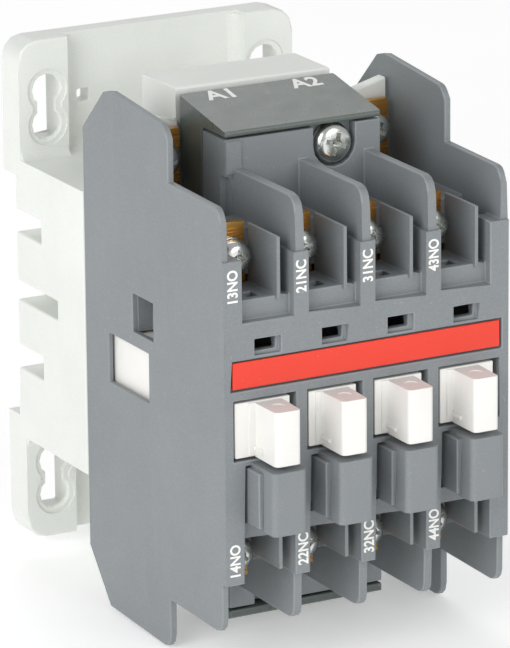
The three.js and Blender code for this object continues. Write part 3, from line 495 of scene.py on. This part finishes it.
def cove(axis, corner, towards, length, radius):
    """A hollow fillet along X or Z, in the corner of two faces, open towards a (y, side) pair."""
    out, side = towards
    cx, cy, cz = corner
    y = sorted((cy - out * SKIN, cy + out * radius))
    if axis == "X":
        z = sorted((cz - side * SKIN, cz + side * radius))
        strip = block((cx - length / 2, cx + length / 2), y, z)
        centre = (cx, cy + out * radius, cz + side * radius)
    else:
        x = sorted((cx - side * SKIN, cx + side * radius))
        strip = block(x, y, (cz - length / 2, cz + length / 2))
        centre = (cx + side * radius, cy + out * radius, cz)
    return without(strip, rod(axis, centre, radius, length + OVERSHOOT, COVE_SIDES))


PANEL_FRONT, PAD_FRONT, PAD_INNER = 0.75, -1.75, 14.2
BODY_TOP, BODY_BOTTOM = 20.3, -20.9
PANEL_TOP, PANEL_BOTTOM = 37, -36
SIDE_X, PAD_WIDTH = 22, 7.4
BODY_COVE, PAD_COVE, PAD_SIDE_COVE = 2.2, 1.6, 2.0


def base_coves():
    made = []
    for face, end, up in ((BODY_TOP, PANEL_TOP, 1), (BODY_BOTTOM, PANEL_BOTTOM, -1)):
        made.append(cove("X", (0, PANEL_FRONT, face), (-1, up), 2 * PAD_INNER, BODY_COVE))
        for side in (-1, 1):
            pad_centre = (side * (PAD_INNER + SIDE_X) / 2, PAD_FRONT, face)
            made.append(cove("X", pad_centre, (-1, up), PAD_WIDTH, PAD_COVE))
            pad_side = (side * PAD_INNER, PANEL_FRONT, (end + face) / 2)
            made.append(cove("Z", pad_side, (-1, -side), abs(end - face), PAD_SIDE_COVE))
    return made


# %% Slot rings
SLOT_X, SLOT_NEAR, SLOT_FAR = 17.5, 25, 30
RING_RADIUS, RING_DEPTH = 3.1, 0.3
NECK_HALF, NECK_INSET = 2.3, 0.6


def slot_rings():
    """A shallow recess, a little wider than the slot, round each of the four slots."""
    deep = (PAD_FRONT - RING_DEPTH, PAD_FRONT + RING_DEPTH)
    tools = []
    for side in (-1, 1):
        for up in (-1, 1):
            x = side * SLOT_X
            for z in (SLOT_NEAR, SLOT_FAR):
                tools.append(rod("Y", (x, PAD_FRONT, up * z), RING_RADIUS, 2 * RING_DEPTH))
            neck = (up * (SLOT_NEAR + NECK_INSET), up * (SLOT_FAR - NECK_INSET))
            tools.append(block((x - NECK_HALF, x + NECK_HALF), deep, neck))
    return tools


# %% Build the base
BASE_ROUND = 0.3

base = joined(merged_copy("base_housing"), *base_coves())
base = without(base, *slot_rings())
clean(base)
print("edges rounded on the base:", soften(base, BASE_ROUND, 3))
piece("base_moulding", base, LIGHT_GREY, "housing", "light_grey_plastic", "base_housing")

# %% [markdown]
# ## The front housing
#
# The front housing is a darker grey moulding: two side walls, three barriers that stand between
# the poles, and a front plate with windows for the slider. Each chamber floor has a small
# rectangular hole, and each clip slot has a ledge inside. Without them the front looks empty,
# so they are cut and joined before the edges are rounded. The clip pillars are left as they are
# packed: their corners are round already, in facets too short for a bevel.

# %% Details of the chambers and clip slots
FRONT, CONTACT_Z = -62.8, -2.5
COLUMN_INNER = 3.95
HOLE_X, HOLE_Y, HOLE_REACH = (2.3, 3.9), (-60.2, -57.9), (15.2, 17)
LEDGES = (
    ((1.45, 2.15), (-62.1, -60.9), (6.5, 9.1)),
    ((-2.15, 1.6), (-62.1, -60.9), (6.5, 7.15)),
    ((-3.25, -2.4), (-65.9, -60.9), (-16.7, -8.9)),
)


def chamber_details():
    """Holes to cut and ledges to join, for each pole."""
    holes, ledges = [], []
    for pole in (pole / MM for pole in POLES):
        left = pole - COLUMN_INNER
        for up in (1, -1):
            z = sorted(CONTACT_Z + up * reach for reach in HOLE_REACH)
            holes.append(block([left + x for x in HOLE_X], HOLE_Y, z))
        ledges += [block([pole + x for x in span], y, z) for span, y, z in LEDGES]
    return holes, ledges


# %% Details of the side walls and the coil block's corner
LINING_Z = (3.75, 9.6)
WEB_X, WEB_Y = (18.3, 21.2), (-36.4, -35.5)
PLATE_X, PLATE_Y = (18.3, 18.9), (-43.0, -35.9)
CORNER_NOTCH = (-12.3, -11.3), (-45.2, -43.6), (18.5, 26.4)
CORNER_BAR = (-11.2, -9.7), (-45.3, -44.5), (19.0, 26.2)
CORNER_CAP = (-12.0, -9.7), (-45.25, -44.5), (26.8, 31.4)


def side_hole_linings():
    """A web and a plate behind each side hole, so that it opens into a grey pocket."""
    parts = []
    for side in (-1, 1):
        parts.append(block([side * x for x in WEB_X], WEB_Y, LINING_Z))
        parts.append(block([side * x for x in PLATE_X], PLATE_Y, LINING_Z))
    return parts


# %% Build the front housing
HOUSING_ROUND = 0.18
PILLAR_STARTS = -65.95


def off_pillar(m):
    return m.y > PILLAR_STARTS


holes, ledges = chamber_details()
housing = without(merged_copy("contact_housing"), *holes, block(*CORNER_NOTCH))
housing = joined(housing, *ledges, block(*CORNER_BAR), block(*CORNER_CAP), *side_hole_linings())
clean(housing)
print("edges rounded on the front housing:", soften(housing, HOUSING_ROUND, 2, off_pillar))
piece("front_housing_moulding", housing, HOUSING_GREY, "housing", "housing_grey_plastic",
      "contact_housing")

# %% [markdown]
# ## The coil covers and the red strip
#
# A dark glossy cover closes each end of the coil block. Its top slopes to the front and ends in
# a thin lip. The rear edges are rounder than a bevel of this thin shell can make them, so each
# is cut with the same strip that made the hollow fillets, laid the other way round.
# The strip is a flat plastic label; a narrow rounding gives it the thin shadow line at its top.

# %% Covers and strip
REAR_ROUND, COVER_ROUND = 1.3, 0.3


def rounded_rear(node, up):
    """The cover with its rear edges cut round: the one along its top and the two at its sides."""
    low, high = (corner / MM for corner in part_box(node))
    top = high.z if up > 0 else low.z
    length, middle_z = 2 * (high.z - low.z), (low.z + high.z) / 2
    width = high.x - low.x + OVERSHOOT
    tools = [cove("X", (0, high.y, top), (-1, -up), width, REAR_ROUND)]
    for x, inward in ((low.x, 1), (high.x, -1)):
        tools.append(cove("Z", (x, high.y, middle_z), (-1, inward), length, REAR_ROUND))
    return without(merged_copy(node), *tools)


for name, up in (("upper", 1), ("lower", -1)):
    node = "coil_cover_" + name
    cover = rounded_rear(node, up)
    clean(cover)
    print("edges rounded on the cover:", soften(cover, COVER_ROUND, 3))
    piece(f"coil_cap_{name}", cover, COVER_GREY, "housing", "cover_grey_plastic", node)

rounded_copy("red_strip", "label_strip", RED, "housing", "red_label", 0.1)

# %% [markdown]
# ## The white slider
#
# The slider carries the moving contacts. Four blades stand out in front, where a clip-on block
# takes hold of them. Each front plate has a fine step, and each blade a round ejector mark on
# top and a small bump low on its left side. The blades' corners are round already, in facets
# too short for a bevel, so only the edges behind them are rounded here.

# %% Details of the blades
BLADE_HALF, BLADE_TOP = 1.95, 0.1
BUMP_Y, BUMP_Z, BUMP_RADIUS, BUMP_LENGTH, BUMP_SIDES = -63.6, -6.3, 0.32, 2.6, 20
MARK_Y, MARK_RADIUS, MARK_CUT = -65.4, 0.95, 0.16
STEP_LEFT, STEP_LAP, STEP_Y, STEP_Z = 2.9, 0.2, (-62.72, -62.2), (-7.2, 0.1)


def blade_details():
    """Bumps and steps to join, and ejector marks to cut, for each blade."""
    added, marks = [], []
    for x in (pole / MM for pole in POLES):
        side = x - BLADE_HALF
        added.append(rod("Y", (side, BUMP_Y, BUMP_Z), BUMP_RADIUS, BUMP_LENGTH, BUMP_SIDES))
        added.append(block((x - STEP_LEFT, side + STEP_LAP), STEP_Y, STEP_Z))
        marks.append(rod("Z", (x, MARK_Y, BLADE_TOP), MARK_RADIUS, MARK_CUT))
    return added, marks


# %% Build the slider
SLIDER_ROUND = 0.14
BLADE_STARTS = -65.9


def off_blade(m):
    return m.y > BLADE_STARTS


added, marks = blade_details()
slider = joined(merged_copy("contact_carrier"), *added)
slider = without(slider, *marks)
clean(slider)
print("edges rounded on the slider:", soften(slider, SLIDER_ROUND, 2, off_blade))
piece("slider_moulding", slider, WHITE, "carrier", "white_plastic", "contact_carrier")

# %% [markdown]
# ## Terminals and screws
#
# The terminals are stamped brass with teeth that grip the wire. The screws are pan heads with a
# cross recess and a washer that lifts with them. A head is a turned shape, so half of its
# outline is spun round, and the recess is cut with two crossed bars and a taper. The thread is
# drawn as rings, which look the same at this size and keep the mesh small.

# %% A turned shape and its outlines
HEAD_HEIGHT, SHANK_RADIUS = 2.0, 1.4
THREAD_PITCH, THREAD_DEPTH, THREAD_START = 0.7, 0.28, 0.4
TIP_LENGTH, TIP_CHAMFER, TIP_RADIUS = 1.2, 0.3, 0.8


def turned(outline, sides=32):
    """A solid of revolution about Y, from (radius, y) points in millimetres."""
    mesh = bmesh.new()
    corners = [mesh.verts.new((radius * MM, y * MM, 0)) for radius, y in outline]
    edges = [mesh.edges.new(pair) for pair in zip(corners, corners[1:])]
    bmesh.ops.spin(mesh, geom=[*corners, *edges], cent=(0, 0, 0), axis=(0, 1, 0),
                   angle=2 * math.pi, steps=sides, use_merge=True)
    bmesh.ops.remove_doubles(mesh, verts=mesh.verts, dist=0.001 * MM)
    bmesh.ops.recalc_face_normals(mesh, faces=mesh.faces)
    return mesh


def head_outline(radius):
    """The pan head from its middle to its underside, as shares of its radius, with a round rim."""
    pan = [(0, -1), (0.4, -0.99), (0.66, -0.95), (0.82, -0.86), (0.92, -0.72), (0.98, -0.52),
           (1, -0.3), (1, -0.06), (0.96, 0)]
    return [(share * radius, depth * HEAD_HEIGHT) for share, depth in pan]


def thread_outline(length):
    """The shank: rings 0.7 mm apart, then a blunt tip."""
    root = SHANK_RADIUS - THREAD_DEPTH
    points = [(SHANK_RADIUS - 0.1, 0)]
    y = THREAD_START
    while y < length - TIP_LENGTH:
        points += [(root, y), (SHANK_RADIUS, y + THREAD_PITCH / 2)]
        y += THREAD_PITCH
    points += [(root, y), (root - 0.1, length - TIP_CHAMFER)]
    return points + [(TIP_RADIUS, length), (0, length)]


# %% A pan-head screw
RECESS_BAR, RECESS_REACH, RECESS_DEPTH = 0.13, 0.56, 1.15
PIT_WIDE, PIT_NARROW, PIT_LENGTH, PIT_CENTRE = 0.45, 0.1, 1.7, 0.7


def screw_mesh(node, angle):
    """A screw in the place and size of a node, turned by an angle in degrees."""
    low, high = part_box(node)
    centre = (low + high) / 2
    radius, length = (high.z - low.z) / 2 / MM, (high.y - low.y) / MM - HEAD_HEIGHT
    blank = turned(head_outline(radius) + thread_outline(length))
    bar, reach = RECESS_BAR * radius, RECESS_REACH * radius
    y = (-HEAD_HEIGHT - 0.5, -HEAD_HEIGHT + RECESS_DEPTH)
    recess = [block((-reach, reach), y, (-bar, bar)), block((-bar, bar), y, (-reach, reach))]
    pit = bmesh.new()
    bmesh.ops.create_cone(pit, cap_ends=True, segments=4, radius1=PIT_WIDE * radius * MM,
                          radius2=PIT_NARROW * radius * MM, depth=PIT_LENGTH * MM)
    bmesh.ops.rotate(pit, cent=(0, 0, 0), matrix=Matrix.Rotation(-math.pi / 2, 3, "X"),
                     verts=pit.verts)
    bmesh.ops.translate(pit, vec=(0, (-HEAD_HEIGHT + PIT_CENTRE) * MM, 0), verts=pit.verts)
    screw = without(blank, *recess, pit)
    bmesh.ops.rotate(screw, cent=(0, 0, 0), matrix=Matrix.Rotation(math.radians(angle), 3, "Y"),
                     verts=screw.verts)
    seat = low.y + HEAD_HEIGHT * MM
    bmesh.ops.translate(screw, vec=(centre.x, seat, centre.z), verts=screw.verts)
    return screw


# %% Place the screws, washers and terminals
def fit_clamp(mark, kind, angle):
    """The screw and washer of one terminal, which move together."""
    screw_node, washer_node = f"{kind}_screw_{mark}", f"{kind}_washer_{mark}"
    piece(f"clamp_screw_{mark}", screw_mesh(screw_node, angle), ZINC, "clamp_" + mark,
          "zinc", screw_node)
    rounded_copy(f"clamp_plate_{mark}", washer_node, ZINC, "clamp_" + mark, "zinc", 0.15)


ANGLES = (12, -24, 33, 5, 41, -8, 20, -35, 15, 28)
MARKS = [*UPPER_NUMBERS, *LOWER_NUMBERS]
for mark, angle in zip([*MARKS, *COIL_MARKS], ANGLES):
    fit_clamp(mark, "coil" if mark in COIL_MARKS else "terminal", angle)

for mark in [*MARKS, *COIL_MARKS]:
    node = ("coil_terminal_" if mark in COIL_MARKS else "terminal_") + mark
    rounded_copy("brass_" + mark, node, BRASS, "housing", "brass", 0.1)

for name, angle in (("upper", 18), ("lower", -30)):
    node = "housing_screw_" + name
    piece(f"joining_screw_{name}", screw_mesh(node, angle), ZINC, "housing", "zinc", node)

# %% [markdown]
# ## The latch and the inside
#
# The latch is the one inner part that shows from below and behind, so its copy is rounded. The
# magnet, the winding, the contacts and the springs sit inside. Their own shapes are right, so
# they stay and only get their finishes. The springs keep one length at every pose.

# %% Latch and inner parts
rounded_copy("rail_latch_bar", "rail_latch", NYLON, "latch", "dark_nylon", 0.3)
INNER = {
    LAMINATION: ("fixed_core", "armature"),
    COPPER: ("shading_ring_upper", "shading_ring_lower", "coil_winding"),
    NYLON: ("coil_bobbin",),
    RUBBER: ("core_cushion",),
    STEEL: ("armature_pin", "rail_latch_spring", "return_spring_left", "return_spring_right",
            *(f"contact_spring_{n}" for n in range(1, 5))),
    SILVER: tuple(f"contact_bridge_{n}" for n in range(1, 5)),
}
for finish, nodes in INNER.items():
    for node in nodes:
        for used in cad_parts[node].material_slots:
            used.material = finish.material
        print(node, "->", finish.material.name)

# %% [markdown]
# ## Terminal marks
#
# The terminal numbers are printed in white on the columns, reading upwards, and the coil's on the
# cover. They are the standard marks of any such relay. Text could stay a text object, but a
# raised print as a thin solid survives every kind of export, so each word is made a mesh, sized
# to its place, and laid on the plastic.

# %% A printed word
FONT_DEPTH, FONT_BOLD, FONT_WELD = 0.02, 0.026, 0.0005
PRINT_HEIGHT = 0.06


def printed(name, words, centre, along, upright, width, height):
    """White letters, centred on a point, along one direction and upright in another."""
    curve = bpy.data.curves.new(name, "FONT")
    curve.body, curve.extrude, curve.offset = words, FONT_DEPTH, FONT_BOLD
    text = bpy.data.objects.new(name, curve)
    bpy.context.scene.collection.objects.link(text)
    seen = text.evaluated_get(bpy.context.evaluated_depsgraph_get())
    letters = bpy.data.meshes.new_from_object(seen)
    mesh = bmesh.new()
    mesh.from_mesh(letters)
    bpy.data.objects.remove(text)
    bpy.data.meshes.remove(letters)
    bmesh.ops.remove_doubles(mesh, verts=mesh.verts, dist=FONT_WELD)
    places = [v.co for v in mesh.verts]
    low = Vector([min(p[i] for p in places) for i in range(3)])
    high = Vector([max(p[i] for p in places) for i in range(3)])
    size, middle_point = high - low, (low + high) / 2
    bmesh.ops.translate(mesh, vec=-middle_point, verts=mesh.verts)
    fit = Vector((width * MM / size.x, height * MM / size.y, PRINT_HEIGHT * MM / size.z))
    bmesh.ops.scale(mesh, vec=fit, verts=mesh.verts)
    along, upright = Vector(along).normalized(), Vector(upright).normalized()
    turn = Matrix((along, upright, along.cross(upright))).transposed()
    bmesh.ops.rotate(mesh, cent=(0, 0, 0), matrix=turn, verts=mesh.verts)
    bmesh.ops.translate(mesh, vec=Vector(centre) * MM, verts=mesh.verts)
    bmesh.ops.recalc_face_normals(mesh, faces=mesh.faces)
    return piece(name, mesh, INK, "housing", "white_plastic")


# %% Print the marks
UP, LEFT, RIGHT = (0, 0, 1), (-1, 0, 0), (1, 0, 0)
COLUMN_X = (-20.6, -10.2, 0, 10.2)
UPPER_MARK_Z, LOWER_MARK_Z = 16.7, -21.65
MARK_WIDTH, MARK_HEIGHT = 4.5, 1.6
CONTACTS = ("NO", "NC", "NC", "NO")
for numbers, z in ((UPPER_NUMBERS, UPPER_MARK_Z), (LOWER_NUMBERS, LOWER_MARK_Z)):
    for number, kind, x in zip(numbers, CONTACTS, COLUMN_X):
        place = (x, FRONT, z)
        printed(f"mark_{number}", number + kind, place, UP, LEFT, MARK_WIDTH, MARK_HEIGHT)

COVER_REAR, COVER_FRONT = (-31, 35.3), (-45.1, 32.7)
SLOPE = (0, COVER_REAR[0] - COVER_FRONT[0], COVER_REAR[1] - COVER_FRONT[1])


def on_cover(x, y):
    """The point on the cover's slope at a place across and a place in depth."""
    share = (y - COVER_REAR[0]) / (COVER_FRONT[0] - COVER_REAR[0])
    return (x, y, COVER_REAR[1] + share * (COVER_FRONT[1] - COVER_REAR[1]))


printed("mark_a1", "A1", on_cover(-6.9, -33.4), RIGHT, SLOPE, 4.3, 3.0)
printed("mark_a2", "A2", on_cover(6.6, -33.4), RIGHT, SLOPE, 4.7, 3.0)

# %% [markdown]
# ## The studio
#
# The relay stands on a plain pale floor in soft light. One large lamp stands low on the left: it
# lights the side wall, and that wall keeps it out of the chambers, which stay dark and deep. A
# second one in front lights the columns and blades. The surround is dim, and the floor glows a
# little, as on a light table, so that it stays pale all the same. The lens is long, as for a
# product picture, so upright edges stay nearly parallel.

# %% Floor
FLOOR_HALF, FLOOR_GAP = 6, 0.0002

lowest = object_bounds()[0].z
ground = bmesh.new()
bmesh.ops.create_grid(ground, x_segments=1, y_segments=1, size=FLOOR_HALF)
bmesh.ops.translate(ground, vec=(0, 0, lowest - FLOOR_GAP), verts=ground.verts)
floor = as_object("floor", ground)
FLOOR = Finish("pale_floor")
paper = FLOOR.ramp(FLOOR.noise(12, 2), 0.3, 0.7)
FLOOR.feed(**{"Base Color": FLOOR.mix(paper, (0.90, 0.90, 0.90, 1), (0.93, 0.93, 0.93, 1)),
              "Roughness": 0.7 + paper * 0.1, "Emission Color": (1, 1, 1, 1),
              "Emission Strength": 0.32})
floor.data.materials.append(FLOOR.material)

# %% Lamps and surround
TARGET = Vector((-1.43, -33.25, 1.171)) * MM


def direction(azimuth, elevation):
    """From the target outwards: azimuth 0 is straight in front, negative to the left."""
    a, e = math.radians(azimuth), math.radians(elevation)
    return Vector((math.sin(a) * math.cos(e), -math.cos(a) * math.cos(e), math.sin(e)))


def lamp(name, azimuth, elevation, distance, size, watts):
    data = bpy.data.lights.new(name, "AREA")
    data.shape, data.size, data.energy = "DISK", size, watts
    made = bpy.data.objects.new(name, data)
    out = direction(azimuth, elevation)
    made.location = TARGET + out * distance
    made.rotation_mode = "QUATERNION"
    made.rotation_quaternion = out.to_track_quat("Z", "Y")
    bpy.context.scene.collection.objects.link(made)


lamp("left_lamp", -62, 24, 0.7, 0.5, 2.3)
lamp("front_lamp", 15, 22, 0.8, 0.5, 1.5)
lamp("rear_lamp", 160, 40, 0.8, 0.5, 0.9)

world = bpy.data.worlds.new("studio")
world.use_nodes = True
surround = world.node_tree.nodes["Background"]
surround.inputs["Color"].default_value = (1, 1, 1, 1)
surround.inputs["Strength"].default_value = 0.45
bpy.context.scene.world = world
bpy.context.scene.view_settings.view_transform = "Standard"

# %% Camera
CAMERA_AZIMUTH, CAMERA_ELEVATION, CAMERA_DISTANCE = -28.17, 16.486, 0.760378
lens = bpy.data.cameras.new("camera")
lens.sensor_width, lens.lens = 36, 303.1
lens.clip_start, lens.clip_end = 0.05, 30
camera = bpy.data.objects.new("camera", lens)
bpy.context.scene.collection.objects.link(camera)
back = direction(CAMERA_AZIMUTH, CAMERA_ELEVATION)
roll = Matrix.Rotation(math.radians(-0.57), 3, "Z").to_quaternion()
camera.location = TARGET + back * CAMERA_DISTANCE
camera.rotation_mode = "QUATERNION"
camera.rotation_quaternion = back.to_track_quat("Z", "Y") @ roll
bpy.context.scene.camera = camera
